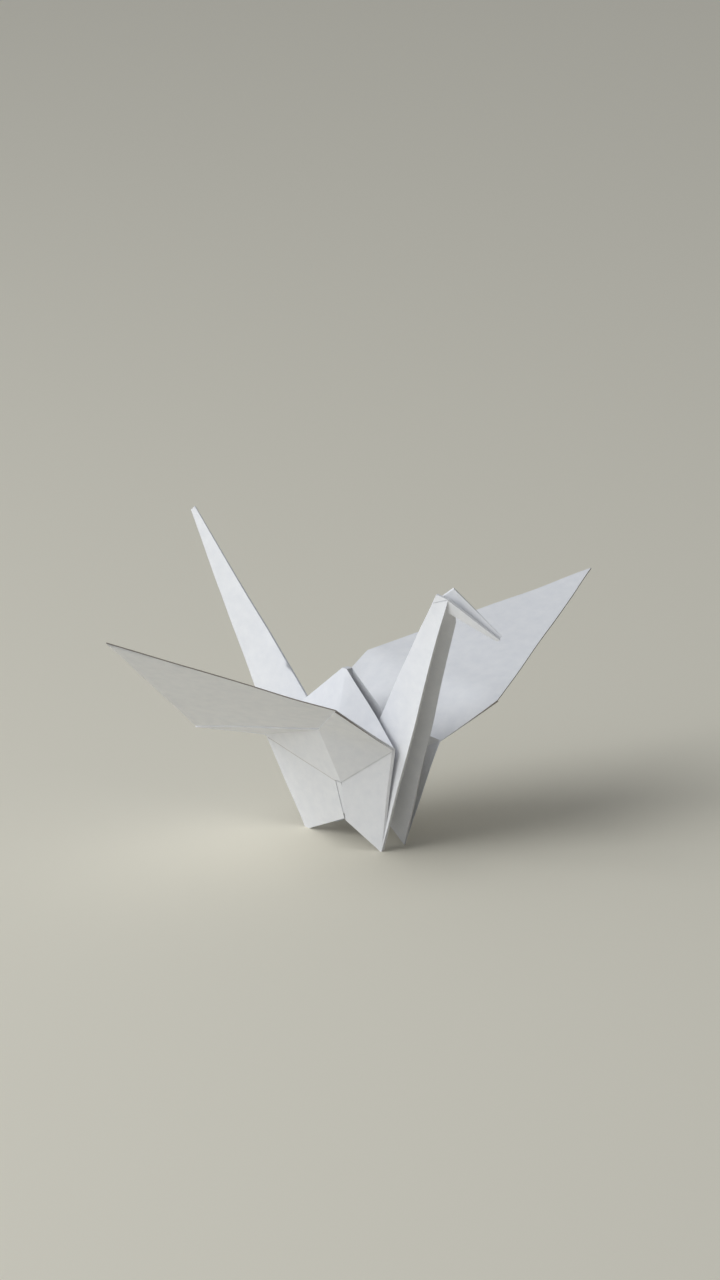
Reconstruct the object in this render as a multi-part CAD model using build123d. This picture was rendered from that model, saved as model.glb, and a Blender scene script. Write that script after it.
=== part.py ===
from build123d import *
import math
import os

# An origami crane, folded from one square sheet of paper and standing on its four bottom corners.
# Millimetres and degrees. X points to the head, Y to the crane's left wing, Z up.

# Paper
SHEET = 150.0               # side of the square sheet
PAPER = 0.10                # thickness of the paper
LOFT = 0.05                 # air left between two plies pressed together
PANEL_PLIES = 1             # hump and gussets
WING_PLIES = 2
FLAPPED_PLIES = 4           # wing's root, with the narrowed edges folded over
FLANK_PLIES = 3
LEG_PLIES = 4               # each side of the neck and the tail
TIP_PLIES = 2               # ends of the beak and the tail
CROWN_PLIES = 3             # the folds crowd together at the hump's peak

# Folds, measured on the flat bird base from the tip of a leg point
NECK_FOLD_MID = 0.440 * SHEET   # neck's reverse fold, along the middle line
NECK_FOLD_EDGE = 0.407 * SHEET  # neck's reverse fold, along the narrowed edge
TAIL_FOLD_MID = 0.457 * SHEET
TAIL_FOLD_EDGE = 0.420 * SHEET
WING_FOLD_EDGE = 0.561 * SHEET  # wing's root fold, along the narrowed edge
HEAD_FOLD = 0.107 * SHEET       # head's reverse fold, along the middle line

# Flanks of the opened body
RIGHT_NECK_OPENING = 11.4   # turn of a flank's foot from the middle plane, seen from above
LEFT_NECK_OPENING = 20.3
TAIL_OPENING = 16.0
NECK_EDGE_LEAN = 9.7        # forward lean of the flanks' edges beside the neck
TAIL_EDGE_LEAN = 21.0       # backward lean of the flanks' edges beside the tail
RIGHT_NECK_FLARE = 1.1      # outward lean of the same edges
LEFT_NECK_FLARE = 15.6
RIGHT_TAIL_FLARE = 13.0
LEFT_TAIL_FLARE = 0.3
SLIT_BOTTOM = 0.039 * SHEET     # height of the lower end of the slit in each side
SLIT_TOP = 0.094 * SHEET        # height of the slit's upper end, where the wing's root dips
SLIT_STANDOFF = 0.041 * SHEET   # distance of the slit's upper end from the middle plane
SLIT_SHIFT = 0.015 * SHEET      # place of the slit's upper end along the body
SLIT_SLANT = 0.5            # forward lean of the slit, from its upper to its lower end
SLIT_GAP = 2.2              # width of the slit
TUCK_GAP = 0.5              # what the tail flank's inner plies leave open in the slit
TUCK_HOLD = 2.0             # how far these plies run back under the outer ply
TUCK_INSET = 0.5            # how far they stay from the slit's ends

# Hump between the wings, and the saddles where the neck's and the tail's spines start
CROWN_SINK = 0.113 * SHEET      # how far the hump sinks as the body is pulled open
CROWN_SHIFT = -2.3          # place of the hump's peak along the body
CROWN_WIDTH = 1.6           # width of the blunt peak
CROWN_LENGTH = 1.4          # length of the blunt peak
RIDGE_GAP = 3.2             # distance between the hump's two ridges at their bend
RIDGE_BEND = 0.62           # place of that bend, from the peak to the front of the wing's root
NECK_SADDLE_HEIGHT = 0.087 * SHEET
NECK_SADDLE_SHIFT = -0.1
TAIL_SADDLE_HEIGHT = 0.100 * SHEET
TAIL_SADDLE_SHIFT = -2.3

# Wings: pocket at the root, then root to the bend in the edges, then bend to tip
POCKET_LENGTH = 0.093 * SHEET   # from the slit's upper end to the corner of the flaps
POCKET_RISE = 64.5
POCKET_SWEEP = -2.5
VALLEY_PLACE = 0.45         # where the hump's face leaves the wing, from the slit to the flaps' corner
RIGHT_ROOT_RISE = 26.1
RIGHT_ROOT_SWEEP = 8.8
RIGHT_TIP_RISE = 29.8
RIGHT_TIP_SWEEP = -0.5
RIGHT_PITCH = 17.9          # turn of the wing's chord, front edge up
LEFT_ROOT_RISE = 40.0
LEFT_ROOT_SWEEP = -14.3
LEFT_TIP_RISE = 18.2
LEFT_TIP_SWEEP = 1.2
LEFT_PITCH = -3.9

# Neck, head and tail
NECK_LEAN = 30.0
THROAT_PLACE = 0.86         # where the neck's left side bows out most, from foot to head
THROAT_FLARE = 2.6          # how far it bows out there
HEAD_TURN = 25.0            # turn of the head to the left
HEAD_ROLL = 34.0            # roll of the head, left side up
HEAD_GAPE = 3.2             # distance between the neck's two sides at the head
HEAD_CREASE = 4.8           # length of the head's crease from nape to brow
HEAD_CREASE_RISE = 31.0
CREST = 2.5                 # right corner of the neck, standing above the nape
BEAK_DROP = 23.5
BEAK_TIP = 1.6              # size of the blunt tip of the beak
TAIL_LEAN = 47.7
TAIL_TIP = 1.2              # size of the blunt tip of the tail
TIP_OPENING = 0.67          # width of a blunt tip, as a share of its size

# Height over which the table presses the bottom corners flat
SOLE = 0.6

# Crease angles of the bird base
PETAL_ANGLE = 22.5
LEG_ANGLE = PETAL_ANGLE / 2

RIGHT = -1
LEFT = 1
NECK = 1
TAIL = -1
MITRE_ROUNDS = 400


def sine(angle):
    return math.sin(math.radians(angle))


def cosine(angle):
    return math.cos(math.radians(angle))


def tangent(angle):
    return math.tan(math.radians(angle))


def stack(plies):
    """Thickness of plies pressed together."""
    return plies * PAPER + (plies - 1) * LOFT


# Corners of the folded sheet

LEG_SLOPE = tangent(LEG_ANGLE)
BEND_ALONG = SHEET * tangent(PETAL_ANGLE) / (tangent(PETAL_ANGLE) + LEG_SLOPE)
BEND_ACROSS = BEND_ALONG * LEG_SLOPE
CROWN_ALONG = SHEET / math.sqrt(2)

NECK_SADDLE = Vector(NECK_SADDLE_SHIFT, 0, NECK_SADDLE_HEIGHT)
TAIL_SADDLE = Vector(TAIL_SADDLE_SHIFT, 0, TAIL_SADDLE_HEIGHT)
CROWN_HEIGHT = NECK_SADDLE_HEIGHT + CROWN_ALONG - NECK_FOLD_MID - CROWN_SINK


def foot(end, side):
    """Bottom corner of a flank, where its edge turns up into the neck or the tail."""
    neck_opening = RIGHT_NECK_OPENING if side == RIGHT else LEFT_NECK_OPENING
    opening = neck_opening if end == NECK else TAIL_OPENING
    reach = LEG_SLOPE * (NECK_FOLD_EDGE if end == NECK else TAIL_FOLD_EDGE)
    return Vector(end * reach * cosine(opening), side * reach * sine(opening), 0)


def shoulder(end, side):
    """Top corner of a flank, where the wing's root fold meets the narrowed edge."""
    neck_flare = RIGHT_NECK_FLARE if side == RIGHT else LEFT_NECK_FLARE
    tail_flare = RIGHT_TAIL_FLARE if side == RIGHT else LEFT_TAIL_FLARE
    flare = neck_flare if end == NECK else tail_flare
    lean = NECK_EDGE_LEAN if end == NECK else TAIL_EDGE_LEAN
    fold_edge = NECK_FOLD_EDGE if end == NECK else TAIL_FOLD_EDGE
    length = (WING_FOLD_EDGE - fold_edge) / cosine(LEG_ANGLE)
    direction = Vector(end * tangent(lean), side * tangent(flare), 1).normalized()
    return foot(end, side) + direction * length


def outward(side, rise, sweep):
    """Direction out to one side, raised and swept back."""
    return Vector(-sine(sweep), side * cosine(sweep) * cosine(rise), cosine(sweep) * sine(rise))


def on_flank(corners, along, height):
    """Point of the flank through three corners, at a place along the body and a height."""
    a, b, c = corners
    normal = (b - a).cross(c - a)
    across = a.Y - (normal.X * (along - a.X) + normal.Z * (height - a.Z)) / normal.Y
    return Vector(along, across, height)


def side_corners(side):
    """Named corners of the body and the wing on one side."""
    right = side == RIGHT
    front = shoulder(NECK, side)
    back = shoulder(TAIL, side)
    slit_top = Vector(SLIT_SHIFT, side * SLIT_STANDOFF, SLIT_TOP)
    half_gap = Vector(SLIT_GAP / 2, 0, 0)
    neck_flank = (slit_top + half_gap, front, foot(NECK, side))
    tail_flank = (slit_top - half_gap, back, foot(TAIL, side))
    slit_low = SLIT_SHIFT + SLIT_SLANT
    tuck_upper = SLIT_TOP - TUCK_INSET
    tuck_lower = SLIT_BOTTOM + TUCK_INSET
    tuck_reach = SLIT_GAP / 2 - TUCK_GAP
    tuck_root = SLIT_GAP / 2 + TUCK_HOLD
    pocket = slit_top + outward(side, POCKET_RISE, POCKET_SWEEP) * POCKET_LENGTH
    crown = Vector(CROWN_SHIFT, side * CROWN_WIDTH / 2, CROWN_HEIGHT)
    half_crown = Vector(CROWN_LENGTH / 2, 0, 0)
    ridge = crown + (front - crown) * RIDGE_BEND
    beside_spine = Vector(0, side * stack(LEG_PLIES) / 2, 0)

    root_rise = RIGHT_ROOT_RISE if right else LEFT_ROOT_RISE
    root_sweep = RIGHT_ROOT_SWEEP if right else LEFT_ROOT_SWEEP
    bend = (front + back) * 0.5 + outward(side, root_rise, root_sweep) * (BEND_ALONG - WING_FOLD_EDGE)
    tip_rise = RIGHT_TIP_RISE if right else LEFT_TIP_RISE
    tip_sweep = RIGHT_TIP_SWEEP if right else LEFT_TIP_SWEEP
    axis = outward(side, tip_rise, tip_sweep)
    level = (Vector(1, 0, 0) - axis * axis.X).normalized()
    pitch = RIGHT_PITCH if right else LEFT_PITCH
    half_chord = (level * cosine(pitch) + level.cross(axis) * (side * sine(pitch))) * BEND_ACROSS
    return {
        "foot_neck": foot(NECK, side),
        "foot_tail": foot(TAIL, side),
        "front": front,
        "back": back,
        "neck_slit_top": slit_top + half_gap,
        "tail_slit_top": slit_top - half_gap,
        "neck_slit_end": on_flank(neck_flank, slit_low + SLIT_GAP / 2, SLIT_BOTTOM),
        "tail_slit_end": on_flank(tail_flank, slit_low - SLIT_GAP / 2, SLIT_BOTTOM),
        "tuck_top": on_flank(tail_flank, SLIT_SHIFT + tuck_reach, tuck_upper),
        "tuck_end": on_flank(tail_flank, slit_low + tuck_reach, tuck_lower),
        "tuck_root_top": on_flank(tail_flank, SLIT_SHIFT - tuck_root, tuck_upper),
        "tuck_root_end": on_flank(tail_flank, slit_low - tuck_root, tuck_lower),
        "pocket": pocket,
        "valley": slit_top + (pocket - slit_top) * VALLEY_PLACE,
        "crown_neck": crown + half_crown,
        "crown_tail": crown - half_crown,
        "ridge": Vector(ridge.X, side * RIDGE_GAP / 2, ridge.Z),
        "neck_saddle": NECK_SADDLE + beside_spine,
        "tail_saddle": TAIL_SADDLE + beside_spine,
        "front_bend": bend + half_chord,
        "back_bend": bend - half_chord,
        "tip": bend + axis * (SHEET - BEND_ALONG),
    }


# Ways to make paper solid

def triangle(a, b, c):
    return Face(Wire.make_polygon([a, b, c]))


def corner_shift(walls):
    """Shift of a shared corner that brings it nearest to the offset faces of all its walls."""
    shift = Vector(0, 0, 0)
    for _ in range(MITRE_ROUNDS):
        gap = Vector(0, 0, 0)
        for normal, offset in walls:
            gap = gap + normal * (offset - shift.dot(normal))
        shift = shift + gap * (1 / len(walls))
    return shift


def folded_sheet(points, facets, mirrored):
    """Paper along triangles that share corners, each from an inner to an outer offset, mitred at folds."""
    inner_walls = {}
    outer_walls = {}
    edges = set()
    turned = []
    for corners, inner, outer in facets:
        corners = corners[::-1] if mirrored else corners
        a, b, c = (points[name] for name in corners)
        normal = (b - a).cross(c - a).normalized()
        for name in corners:
            inner_walls.setdefault(name, []).append((normal, inner))
            outer_walls.setdefault(name, []).append((normal, outer))
        edges.update(zip(corners, corners[1:] + corners[:1]))
        turned.append(corners)
    low = {name: points[name] + corner_shift(walls) for name, walls in inner_walls.items()}
    high = {name: points[name] + corner_shift(walls) for name, walls in outer_walls.items()}
    faces = []
    for a, b, c in turned:
        faces.append(triangle(high[a], high[b], high[c]))
        faces.append(triangle(low[c], low[b], low[a]))
    for start, end in edges:
        if (end, start) not in edges:
            faces.append(triangle(high[start], low[start], low[end]))
            faces.append(triangle(high[start], low[end], high[end]))
    return Solid(Shell(faces))


def trough_section(spine, right, left, wall):
    """Section of paper folded along a spine and open on the other side."""
    half = wall / 2
    to_right = (right - spine).normalized()
    to_left = (left - spine).normalized()
    spread = to_right.dot(to_left)
    out_right = (to_right * spread - to_left).normalized() * half
    out_left = (to_left * spread - to_right).normalized() * half
    inside = spine + (to_right + to_left).normalized() * (half / math.sqrt((1 - spread) / 2))
    corners = [
        right + out_right,
        spine + out_right,
        spine + out_left,
        left + out_left,
        left - out_left,
        inside,
        right - out_right,
    ]
    return Wire.make_polygon(corners)


def trough(*sections):
    return Solid.make_loft([trough_section(*section) for section in sections], ruled=True)


# Wings and flanks, with the narrowed edges folded over on the under side and a slit between neck and tail

def outer_paper(side):
    points = side_corners(side)
    wing = [
        ("tip", "front_bend", "back_bend"),
        ("front_bend", "pocket", "back_bend"),
    ]
    root = [
        ("front_bend", "front", "pocket"),
        ("back_bend", "pocket", "back"),
        ("front", "neck_slit_top", "pocket"),
        ("neck_slit_top", "tail_slit_top", "pocket"),
        ("back", "pocket", "tail_slit_top"),
    ]
    flanks = [
        ("neck_slit_top", "front", "foot_neck"),
        ("neck_slit_top", "foot_neck", "neck_slit_end"),
        ("tail_slit_top", "foot_tail", "back"),
        ("tail_slit_top", "tail_slit_end", "foot_tail"),
        ("neck_slit_end", "foot_neck", "neck_saddle"),
        ("tail_slit_end", "tail_saddle", "foot_tail"),
    ]
    tuck = [
        ("tuck_top", "tuck_end", "tuck_root_end"),
        ("tuck_top", "tuck_root_end", "tuck_root_top"),
    ]
    half_wing = stack(WING_PLIES) / 2
    half_flank = stack(FLANK_PLIES) / 2
    sheet = [(corners, -half_wing, half_wing) for corners in wing + root]
    sheet += [(corners, -half_flank, half_flank) for corners in flanks]
    flaps = [(corners, half_wing - stack(FLAPPED_PLIES), 0) for corners in root]
    inner_plies = [(corners, PAPER + LOFT - half_flank, half_flank - LOFT) for corners in tuck]
    return [folded_sheet(points, facets, side == LEFT) for facets in (sheet, flaps, inner_plies)]


# Hump and gussets, a single ply round the peak

def inner_paper():
    side_panels = [
        ("crown_neck", "valley", "ridge"),
        ("ridge", "valley", "front"),
        ("crown_tail", "valley", "crown_neck"),
        ("crown_tail", "back", "valley"),
        ("crown_neck", "ridge", "neck_saddle"),
        ("ridge", "front", "neck_saddle"),
        ("front", "foot_neck", "neck_saddle"),
        ("crown_tail", "tail_saddle", "back"),
        ("back", "tail_saddle", "foot_tail"),
    ]
    middle_panels = [
        ("right_crown_neck", "right_neck_saddle", "left_neck_saddle"),
        ("right_crown_neck", "left_neck_saddle", "left_crown_neck"),
        ("right_crown_tail", "left_crown_tail", "left_tail_saddle"),
        ("right_crown_tail", "left_tail_saddle", "right_tail_saddle"),
    ]
    peak = [
        ("right_crown_tail", "right_crown_neck", "left_crown_neck"),
        ("right_crown_tail", "left_crown_neck", "left_crown_tail"),
    ]
    half = stack(PANEL_PLIES) / 2
    half_peak = stack(CROWN_PLIES) / 2
    points = {}
    facets = [(panel, -half, half) for panel in middle_panels]
    facets += [(panel, -half_peak, half_peak) for panel in peak]
    for side, prefix in ((RIGHT, "right_"), (LEFT, "left_")):
        points.update({prefix + name: point for name, point in side_corners(side).items()})
        for panel in side_panels:
            corners = tuple(prefix + name for name in panel)
            facets.append((corners if side == RIGHT else corners[::-1], -half, half))
    return folded_sheet(points, facets, False)


# Neck and head, open in front, with the beak folded down between the neck's sides

def neck_and_head():
    climb = Vector(sine(NECK_LEAN), 0, cosine(NECK_LEAN))
    nape = NECK_SADDLE + climb * (NECK_FOLD_MID - HEAD_FOLD)
    ahead = Vector(cosine(HEAD_TURN), sine(HEAD_TURN), 0)
    up = Vector(0, 0, 1)
    aside = up.cross(ahead) * cosine(HEAD_ROLL) + up * sine(HEAD_ROLL)
    brow = nape + (ahead * cosine(HEAD_CREASE_RISE) + up * sine(HEAD_CREASE_RISE)) * HEAD_CREASE
    right_brow = brow - aside * (HEAD_GAPE / 2)
    left_brow = brow + aside * (HEAD_GAPE / 2)
    beak = nape + (ahead * cosine(BEAK_DROP) - up * sine(BEAK_DROP)) * HEAD_FOLD
    lip = beak + (ahead + up) * (BEAK_TIP / 2)
    half_lip = aside * (BEAK_TIP * TIP_OPENING / 2)
    starts = (NECK_SADDLE, foot(NECK, RIGHT), foot(NECK, LEFT))
    ends = (nape, right_brow, left_brow)
    spine, right, left = (start + (end - start) * THROAT_PLACE for start, end in zip(starts, ends))
    neck = trough(
        (*starts, stack(LEG_PLIES)),
        (spine, right, left + Vector(0, THROAT_FLARE, 0), stack(LEG_PLIES)),
        (*ends, stack(LEG_PLIES)),
    )
    head = trough(
        (nape, right_brow, left_brow, stack(LEG_PLIES)),
        (beak, lip - half_lip, lip + half_lip, stack(TIP_PLIES)),
    )
    half = stack(LEG_PLIES) / 2
    corners = {"nape": nape, "crest": nape + climb * CREST, "brow": right_brow}
    crest = folded_sheet(corners, [(("nape", "crest", "brow"), -half, half)], False)
    return [neck, head, crest]


# Tail, open behind

def tail():
    climb = Vector(-sine(TAIL_LEAN), 0, cosine(TAIL_LEAN))
    behind = Vector(-cosine(TAIL_LEAN), 0, -sine(TAIL_LEAN))
    tip = TAIL_SADDLE + climb * TAIL_FOLD_MID
    lip = tip + behind * TAIL_TIP
    half_lip = Vector(0, TAIL_TIP * TIP_OPENING / 2, 0)
    return trough(
        (TAIL_SADDLE, foot(TAIL, RIGHT), foot(TAIL, LEFT), stack(LEG_PLIES)),
        (tip, lip - half_lip, lip + half_lip, stack(TIP_PLIES)),
    )


# The crane, with its corners pressed flat, moved to stand centred on the origin

pieces = [inner_paper(), tail()] + neck_and_head() + outer_paper(RIGHT) + outer_paper(LEFT)
paper = Part() + pieces
box = paper.bounding_box()
table = Pos(box.center().X, box.center().Y, box.min.Z + SOLE - SHEET / 2) * Box(SHEET, SHEET, SHEET)
crane = Pos(-box.center().X, -box.center().Y, -box.min.Z - SOLE) * (paper - table)
crane.label = "crane"

os.makedirs("parts", exist_ok=True)
export_step(crane, "parts/crane.step")
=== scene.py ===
import math

import bmesh
import bpy
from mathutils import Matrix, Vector
from mathutils.bvhtree import BVHTree


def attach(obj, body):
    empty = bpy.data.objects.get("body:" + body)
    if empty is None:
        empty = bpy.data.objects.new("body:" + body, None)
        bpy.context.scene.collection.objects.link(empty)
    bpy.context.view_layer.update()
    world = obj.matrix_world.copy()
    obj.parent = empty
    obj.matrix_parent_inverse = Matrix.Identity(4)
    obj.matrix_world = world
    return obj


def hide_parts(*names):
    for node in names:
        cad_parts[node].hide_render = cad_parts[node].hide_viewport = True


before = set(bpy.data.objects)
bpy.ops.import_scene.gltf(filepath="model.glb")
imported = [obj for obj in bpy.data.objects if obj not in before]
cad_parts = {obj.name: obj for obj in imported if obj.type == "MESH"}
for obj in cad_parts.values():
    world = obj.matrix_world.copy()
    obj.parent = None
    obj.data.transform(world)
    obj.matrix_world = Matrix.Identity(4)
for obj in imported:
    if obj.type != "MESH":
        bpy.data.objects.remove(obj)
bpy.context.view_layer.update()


# The crane is one square of thin white paper, folded by hand into a bird base, narrowed, and bent into neck,
# tail and wings. The imported model gives its folds and plies, and the panels get the slack of real paper here.
# Folds stay sharp on the body and soft on the wings; cut edges get painted shade and flaps a painted shadow
# line.

SAME_CORNER = 0.000002              # corners nearer than this are one corner
PANEL_FLATNESS = math.radians(0.5)  # triangles that turn less than this are one panel
SHOULDER_HEIGHT = 0.022             # about the height of the wings' roots
BODY_CREASE = math.radians(12)      # below the shoulders, a sharper turn is a crisp fold
WING_CREASE = math.radians(32)      # the same above them
WING_ROOT = 0.006                   # distance from the middle plane at which a wing starts
CUT_EDGE_WIDTH = 0.0006             # a wing's cut edge is narrower than this
OPEN_AIR = 0.0010                   # distance ahead of a face that is searched for other paper
OPEN_SHARE = 0.9                    # share of that distance that counts as open
FLAP_STEP = 0.0003                  # a flap's edge is narrower than this, and as close to the flank
LONG_FLAP = 0.018                   # a shorter flap gets no painted shadow line
# a band of painted shadow on the flank under a long flap's edge, this wide and this dark
PAINTED_SHADOW_WIDTH = 0.0004
PAINTED_SHADOW_TONE = 0.55               # painted shadow under a flap's edge; a cut edge's painted shade has 1
LONGEST_EDGE = 0.004                # short enough for a panel to bow
EDGE_ROUNDS = 6                     # times that longer edges are halved
RIPPLES_PER_METRE = 45.0
RIPPLE_HEIGHT = 0.0008
STILL_HEIGHT = 0.001                # paper below this stays where it stands on the table
LOOSE_HEIGHT = 0.012                # paper above this ripples fully
PULP_SHADE = (0.79, 0.80, 0.84, 1)
PULP_LIGHT = (0.85, 0.855, 0.885, 1)
# colour of the painted shade on the wings' cut edges and the painted shadow lines under flaps
PAINTED_SHADE_COLOUR = (0.40, 0.36, 0.34, 1)

crane_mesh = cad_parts["crane"].data.copy()
crane_mesh.name = "folded_paper"
crane_mesh.materials.clear()

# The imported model's loose triangles become whole panels, and sharp folds are marked
sheet = bmesh.new()
sheet.from_mesh(crane_mesh)
bmesh.ops.remove_doubles(sheet, verts=sheet.verts, dist=SAME_CORNER)
bmesh.ops.dissolve_limit(
    sheet, angle_limit=PANEL_FLATNESS, use_dissolve_boundaries=False, verts=sheet.verts, edges=sheet.edges
)
sheet.normal_update()
for edge in sheet.edges:
    start, end = edge.verts
    above_body = (start.co.z + end.co.z) / 2 > SHOULDER_HEIGHT
    edge.smooth = edge.calc_face_angle(math.pi) < (WING_CREASE if above_body else BODY_CREASE)
surface = BVHTree.FromBMesh(sheet)


def strip_width(face):
    """Width of a long narrow face."""
    return 2 * face.calc_area() / face.calc_perimeter()


def longest_edge(face):
    """Edge that runs along a narrow face."""
    return max(face.edges, key=bmesh.types.BMEdge.calc_length)


def room_ahead(face):
    """Distance to the nearest paper from a point just in front of a face."""
    return surface.find_nearest(face.calc_center_median() + face.normal * OPEN_AIR)[3]


def is_cut_edge(strip):
    """True for a narrow strip round a wing, with open air in front of it."""
    middle = strip.calc_center_median()
    on_wing = abs(middle.y) > WING_ROOT and middle.z > SHOULDER_HEIGHT
    return on_wing and strip_width(strip) < CUT_EDGE_WIDTH and room_ahead(strip) > OPEN_SHARE * OPEN_AIR


def is_flap_step(strip):
    """True for the narrow edge of a long flap that lies on a flank."""
    on_body = strip.calc_center_median().z < SHOULDER_HEIGHT
    is_long = longest_edge(strip).calc_length() > LONG_FLAP
    return on_body and is_long and max(strip_width(strip), room_ahead(strip)) < FLAP_STEP


def paint_fold_shadow(step, painted_shade_layer):
    """Cut a narrow band off the flank along a flap's edge, and give the band painted shadow."""
    fold = longest_edge(step)
    flap_faces = (step, *fold.link_faces)
    beside = [face for edge in step.edges for face in edge.link_faces if face not in flap_faces]
    flank = max(beside, key=bmesh.types.BMFace.calc_area)
    start, end = (vert.co.copy() for vert in fold.verts)
    away = flank.normal.cross(end - start).normalized()
    if away.dot(flank.calc_center_median() - start) < 0:
        away.negate()
    cut = bmesh.ops.bisect_plane(
        sheet,
        geom=[flank, *flank.edges, *flank.verts],
        dist=SAME_CORNER,
        plane_co=start + away * PAINTED_SHADOW_WIDTH,
        plane_no=away,
    )
    for part in cut["geom"]:
        is_face = isinstance(part, bmesh.types.BMFace)
        if is_face and away.dot(part.calc_center_median() - start) < PAINTED_SHADOW_WIDTH:
            part[painted_shade_layer] = PAINTED_SHADOW_TONE


def cut_into_triangles():
    """Divide every panel of the sheet into triangles."""
    bmesh.ops.triangulate(sheet, faces=sheet.faces, quad_method="BEAUTY", ngon_method="BEAUTY")


painted_shade_amount = sheet.faces.layers.float.new("painted_shade_amount")
# The wings' cut edges get full painted shade
for face in sheet.faces:
    face[painted_shade_amount] = float(is_cut_edge(face))
# The flank under each long flap's edge gets a band of painted shadow
for step in [face for face in sheet.faces if is_flap_step(face)]:
    paint_fold_shadow(step, painted_shade_amount)

# The panels are divided finely enough to bow, and triangles that came out flat are dropped
cut_into_triangles()
for _ in range(EDGE_ROUNDS):
    long_edges = [edge for edge in sheet.edges if edge.calc_length() > LONGEST_EDGE]
    bmesh.ops.subdivide_edges(sheet, edges=long_edges, cuts=1)
    cut_into_triangles()
bmesh.ops.dissolve_degenerate(sheet, dist=SAME_CORNER, edges=sheet.edges)
cut_into_triangles()
sheet.to_mesh(crane_mesh)
sheet.free()

paper = bpy.data.objects.new("folded_paper", crane_mesh)
bpy.context.scene.collection.objects.link(paper)

# White paper has a faintly cloudy pulp and a fine tooth; painted shade darkens its cut edges and the flank
# under flaps
white_paper = bpy.data.materials.new("white_paper")
white_paper.use_nodes = True
paper_nodes = white_paper.node_tree.nodes
paper_links = white_paper.node_tree.links
shader = paper_nodes["Principled BSDF"]
shader.inputs["Roughness"].default_value = 0.82
shader.inputs["Specular IOR Level"].default_value = 0.25

place = paper_nodes.new("ShaderNodeTexCoord")
pulp = paper_nodes.new("ShaderNodeTexNoise")
pulp.inputs["Scale"].default_value = 420.0
pulp.inputs["Detail"].default_value = 5.0
pulp.inputs["Roughness"].default_value = 0.6
paper_links.new(place.outputs["Object"], pulp.inputs["Vector"])
tint = paper_nodes.new("ShaderNodeValToRGB")
tint.color_ramp.elements[0].position = 0.3
tint.color_ramp.elements[0].color = PULP_SHADE
tint.color_ramp.elements[1].position = 0.7
tint.color_ramp.elements[1].color = PULP_LIGHT
paper_links.new(pulp.outputs["Fac"], tint.inputs["Fac"])
# The painted shade darkens the paper as far as each face's amount of it
painted_shade_mask = paper_nodes.new("ShaderNodeAttribute")
painted_shade_mask.attribute_name = "painted_shade_amount"
painted_shade_mix = paper_nodes.new("ShaderNodeMix")
painted_shade_mix.data_type = "RGBA"
painted_shade_mix.inputs["B"].default_value = PAINTED_SHADE_COLOUR
paper_links.new(painted_shade_mask.outputs["Fac"], painted_shade_mix.inputs["Factor"])
paper_links.new(tint.outputs["Color"], painted_shade_mix.inputs["A"])
paper_links.new(painted_shade_mix.outputs["Result"], shader.inputs["Base Color"])

fibre = paper_nodes.new("ShaderNodeTexNoise")
fibre.inputs["Scale"].default_value = 2600.0
fibre.inputs["Detail"].default_value = 4.0
paper_links.new(place.outputs["Object"], fibre.inputs["Vector"])
tooth = paper_nodes.new("ShaderNodeBump")
tooth.inputs["Strength"].default_value = 0.22
tooth.inputs["Distance"].default_value = 0.00004
paper_links.new(fibre.outputs["Fac"], tooth.inputs["Height"])
paper_links.new(tooth.outputs["Normal"], shader.inputs["Normal"])

# The slack moves each point of the paper by a soft ripple, and dies away towards the table
slack = bpy.data.node_groups.new("paper_slack", "GeometryNodeTree")
slack.is_modifier = True
slack.interface.new_socket("Geometry", in_out="INPUT", socket_type="NodeSocketGeometry")
ripple_count = slack.interface.new_socket("Ripples per metre", in_out="INPUT", socket_type="NodeSocketFloat")
ripple_height = slack.interface.new_socket("Ripple height", in_out="INPUT", socket_type="NodeSocketFloat")
finish = slack.interface.new_socket("Finish", in_out="INPUT", socket_type="NodeSocketMaterial")
slack.interface.new_socket("Geometry", in_out="OUTPUT", socket_type="NodeSocketGeometry")
slack_nodes = slack.nodes
slack_links = slack.links
given = slack_nodes.new("NodeGroupInput")
made = slack_nodes.new("NodeGroupOutput")
position = slack_nodes.new("GeometryNodeInputPosition")
ripple = slack_nodes.new("ShaderNodeTexNoise")
ripple.inputs["Detail"].default_value = 1.0
slack_links.new(position.outputs["Position"], ripple.inputs["Vector"])
slack_links.new(given.outputs["Ripples per metre"], ripple.inputs["Scale"])
centred = slack_nodes.new("ShaderNodeVectorMath")
centred.operation = "SUBTRACT"
centred.inputs[1].default_value = (0.5, 0.5, 0.5)
slack_links.new(ripple.outputs["Color"], centred.inputs[0])
height = slack_nodes.new("ShaderNodeSeparateXYZ")
slack_links.new(position.outputs["Position"], height.inputs["Vector"])
clear_of_table = slack_nodes.new("ShaderNodeMapRange")
clear_of_table.interpolation_type = "SMOOTHSTEP"
clear_of_table.inputs["From Min"].default_value = STILL_HEIGHT
clear_of_table.inputs["From Max"].default_value = LOOSE_HEIGHT
slack_links.new(height.outputs["Z"], clear_of_table.inputs["Value"])
swing = slack_nodes.new("ShaderNodeMath")
swing.operation = "MULTIPLY"
slack_links.new(clear_of_table.outputs["Result"], swing.inputs[0])
slack_links.new(given.outputs["Ripple height"], swing.inputs[1])
drift = slack_nodes.new("ShaderNodeVectorMath")
drift.operation = "SCALE"
slack_links.new(centred.outputs["Vector"], drift.inputs[0])
slack_links.new(swing.outputs["Value"], drift.inputs["Scale"])
bowed = slack_nodes.new("GeometryNodeSetPosition")
slack_links.new(given.outputs["Geometry"], bowed.inputs["Geometry"])
slack_links.new(drift.outputs["Vector"], bowed.inputs["Offset"])
real = slack_nodes.new("GeometryNodeRealizeInstances")
slack_links.new(bowed.outputs["Geometry"], real.inputs["Geometry"])
coated = slack_nodes.new("GeometryNodeSetMaterial")
slack_links.new(real.outputs["Geometry"], coated.inputs["Geometry"])
slack_links.new(given.outputs["Finish"], coated.inputs["Material"])
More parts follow.
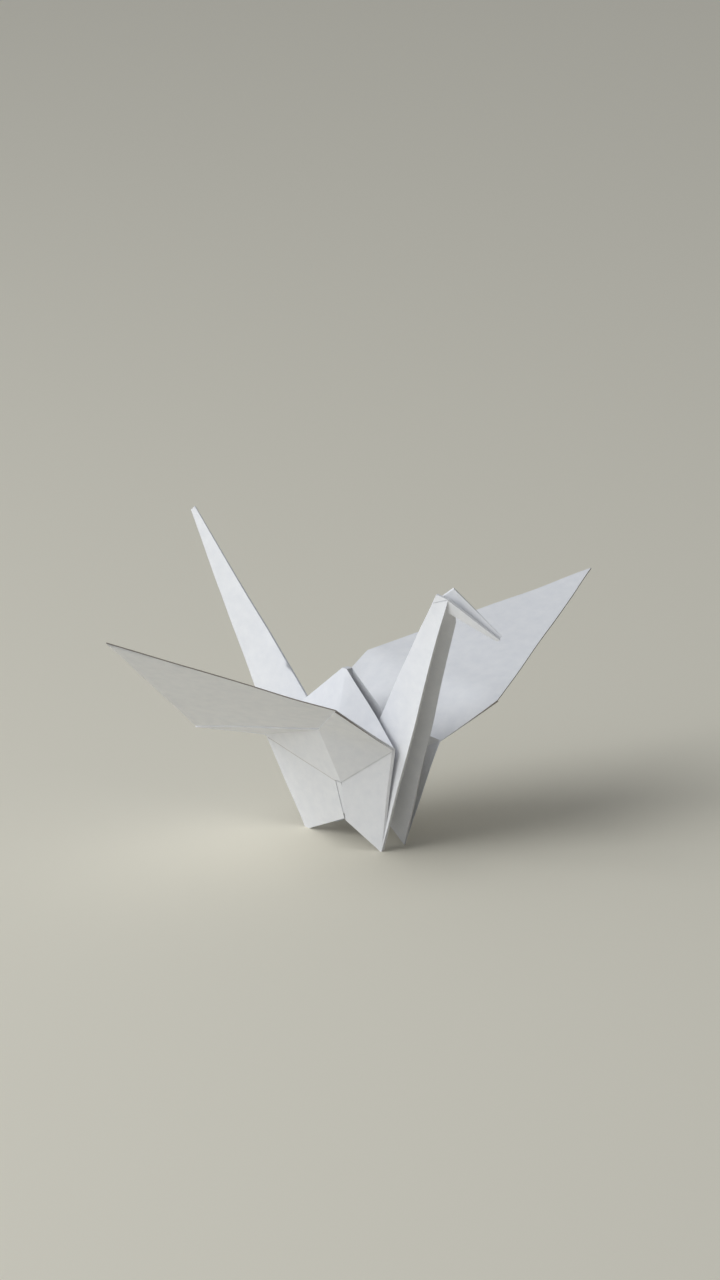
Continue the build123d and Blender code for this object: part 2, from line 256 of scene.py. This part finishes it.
slack_links.new(coated.outputs["Geometry"], made.inputs["Geometry"])

bend = paper.modifiers.new("paper_slack", "NODES")
bend.node_group = slack
bend[ripple_count.identifier] = RIPPLES_PER_METRE
bend[ripple_height.identifier] = RIPPLE_HEIGHT
bend[finish.identifier] = white_paper

depsgraph = bpy.context.evaluated_depsgraph_get()
bowed_mesh = bpy.data.meshes.new_from_object(paper.evaluated_get(depsgraph), depsgraph=depsgraph)
paper.modifiers.remove(bend)
paper.data = bowed_mesh
bowed_mesh.name = "folded_paper"
for face in bowed_mesh.polygons:
    face.use_smooth = True
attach(paper, "root")
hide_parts("crane")


# The floor is a plain pale sheet, far larger than the picture, matt and slightly warm.
# It only carries the shadow, and isn't part of the crane.

FLOOR_REACH = 4.0
FLOOR_CORNERS = ((-1, -1), (1, -1), (1, 1), (-1, 1))
floor_mesh = bpy.data.meshes.new("floor")
floor_mesh.from_pydata(
    [(FLOOR_REACH * x, FLOOR_REACH * y, 0) for x, y in FLOOR_CORNERS],
    [],
    [(0, 1, 2, 3)],
)
floor = bpy.data.objects.new("floor", floor_mesh)
bpy.context.scene.collection.objects.link(floor)
pale_floor = bpy.data.materials.new("pale_floor")
pale_floor.use_nodes = True
floor_shader = pale_floor.node_tree.nodes["Principled BSDF"]
floor_shader.inputs["Base Color"].default_value = (0.88, 0.84, 0.73, 1)
floor_shader.inputs["Roughness"].default_value = 0.9
floor_shader.inputs["Specular IOR Level"].default_value = 0.1
floor_mesh.materials.append(pale_floor)


# The camera stands where the photograph was taken, at the crane's front right and a little above it.
# Its focal length and aim come from matching the folds to the picture.

VIEW_AZIMUTH = math.radians(49.76)
VIEW_ELEVATION = math.radians(15.94)
VIEW_DISTANCE = 1.5
AIM = Vector((-0.000604, 0.006665, 0.039870))
towards_camera = Vector(
    (
        math.sin(VIEW_AZIMUTH) * math.cos(VIEW_ELEVATION),
        -math.cos(VIEW_AZIMUTH) * math.cos(VIEW_ELEVATION),
        math.sin(VIEW_ELEVATION),
    )
)
lens = bpy.data.cameras.new("camera")
lens.sensor_width = 36.0
lens.lens = 199.8
lens.clip_start = 0.05
lens.clip_end = 50.0
camera = bpy.data.objects.new("camera", lens)
camera.location = AIM + towards_camera * VIEW_DISTANCE
camera.rotation_euler = (-towards_camera).to_track_quat("-Z", "Y").to_euler()
bpy.context.scene.collection.objects.link(camera)
bpy.context.scene.camera = camera


# The light is one large soft lamp at the camera's left and above, like a window, with a pale sky round it.
# The sky is brightest on the lamp's side and fades out on the other, so faces turned from it are shaded.

WINDOW_LEFT = 0.80
WINDOW_NEAR = 0.32
WINDOW_UP = 0.52
WINDOW_DISTANCE = 1.2
SKY_DARK_FROM = -0.4
to_right = Vector((math.cos(VIEW_AZIMUTH), math.sin(VIEW_AZIMUTH), 0))
window = bpy.data.lights.new("window", "AREA")
window.shape = "RECTANGLE"
window.size = 1.0
window.size_y = 1.0
window.energy = 8.0
window.color = (0.98, 1.0, 0.99)
window_lamp = bpy.data.objects.new("window", window)
window_offset = to_right * -WINDOW_LEFT + towards_camera * WINDOW_NEAR + Vector((0, 0, WINDOW_UP))
towards_window = window_offset.normalized()
window_lamp.location = AIM + towards_window * WINDOW_DISTANCE
window_lamp.rotation_euler = (-towards_window).to_track_quat("-Z", "Y").to_euler()
bpy.context.scene.collection.objects.link(window_lamp)

world = bpy.data.worlds.new("studio")
world.use_nodes = True
sky = world.node_tree.nodes["Background"]
sky.inputs["Color"].default_value = (0.94, 0.97, 1.0, 1)
sky_place = world.node_tree.nodes.new("ShaderNodeTexCoord")
leftward = world.node_tree.nodes.new("ShaderNodeVectorMath")
leftward.operation = "DOT_PRODUCT"
leftward.inputs[1].default_value = -to_right
fading = world.node_tree.nodes.new("ShaderNodeMapRange")
fading.inputs["From Min"].default_value = SKY_DARK_FROM
world.node_tree.links.new(sky_place.outputs["Generated"], leftward.inputs[0])
world.node_tree.links.new(leftward.outputs["Value"], fading.inputs["Value"])
world.node_tree.links.new(fading.outputs["Result"], sky.inputs["Strength"])
bpy.context.scene.world = world
bpy.context.scene.view_settings.view_transform = "Standard"
